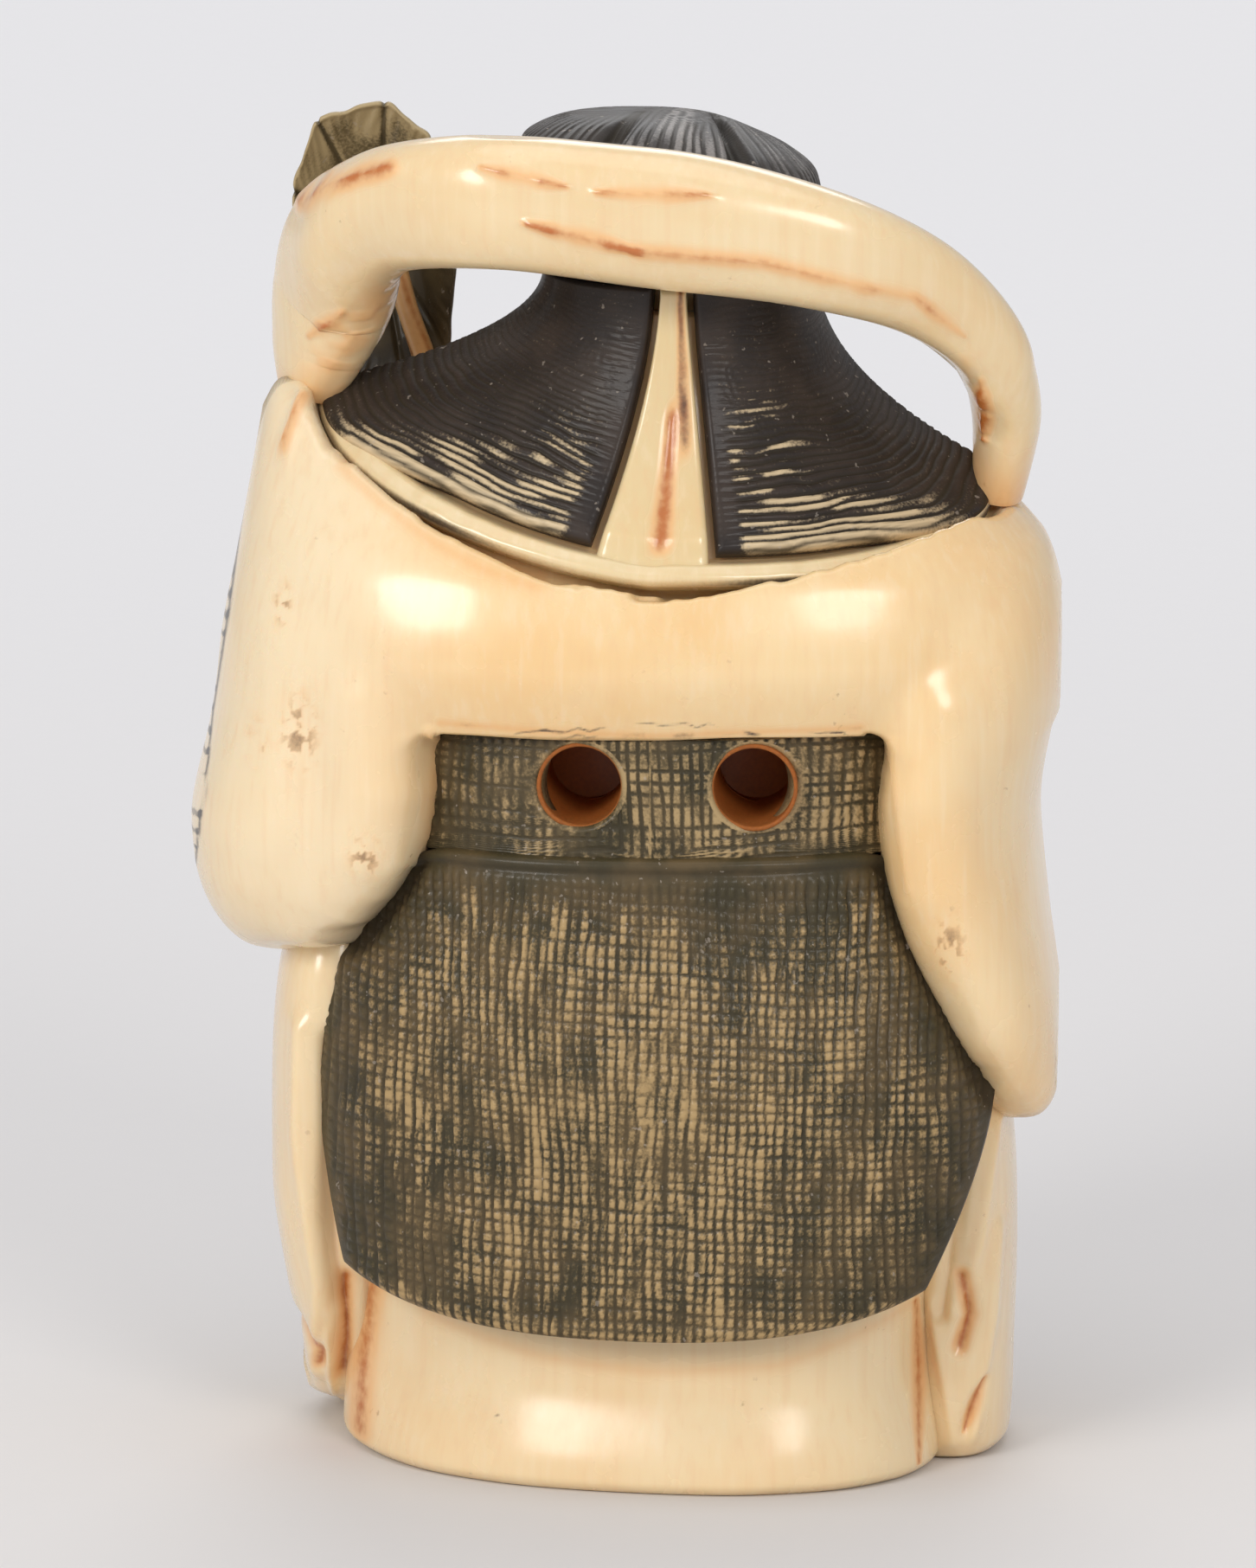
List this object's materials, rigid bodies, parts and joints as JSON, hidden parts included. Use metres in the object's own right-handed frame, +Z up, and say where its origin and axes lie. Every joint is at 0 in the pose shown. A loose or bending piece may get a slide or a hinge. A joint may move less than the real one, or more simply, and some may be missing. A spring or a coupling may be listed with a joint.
{
  "type": "carved netsuke figure",
  "caption": "Carved and stained figure in a full robe with a cross-hatched back panel, parted hair, a scarf looped behind the head, a leaf in one hand and a cord channel through the back",
  "frame": {"origin": "centre of the flat underside, on the figure's upright axis, at the height of what it stands on", "axes": "+Z up, the longest extent. +Y the way the figure faces, the shortest extent, so the back that the picture shows faces -Y. +X to the right for someone who looks at the back"},
  "size_m": [0.0337, 0.0245, 0.0522],
  "materials": {
    "ivory": "gloss",
    "pale_ivory": "gloss",
    "inked_ivory": "satin",
    "blackened_ivory": "satin",
    "olive_ivory": "satin",
    "rust_ivory": "satin"
  },
  "bodies": {
    "root": {"under_robe": "ivory", "jacket": "ivory", "waist_board": "inked_ivory", "skirt_back": "inked_ivory", "skirt_front": "inked_ivory", "sash": "inked_ivory", "sash_knot": "inked_ivory", "drape_left": "ivory", "drape_right": "ivory", "collar": "pale_ivory", "nape_ribbon": "pale_ivory", "hair_left": "blackened_ivory", "hair_right": "blackened_ivory", "hair_crown": "blackened_ivory", "head": "ivory", "scarf": "ivory", "leaf": "olive_ivory", "leaf_stem": "rust_ivory", "hand_left": "ivory", "hand_right": "ivory", "lapel_left": "pale_ivory", "lapel_right": "pale_ivory", "foot_left": "ivory", "foot_right": "ivory"}
  },
  "joints": []
}
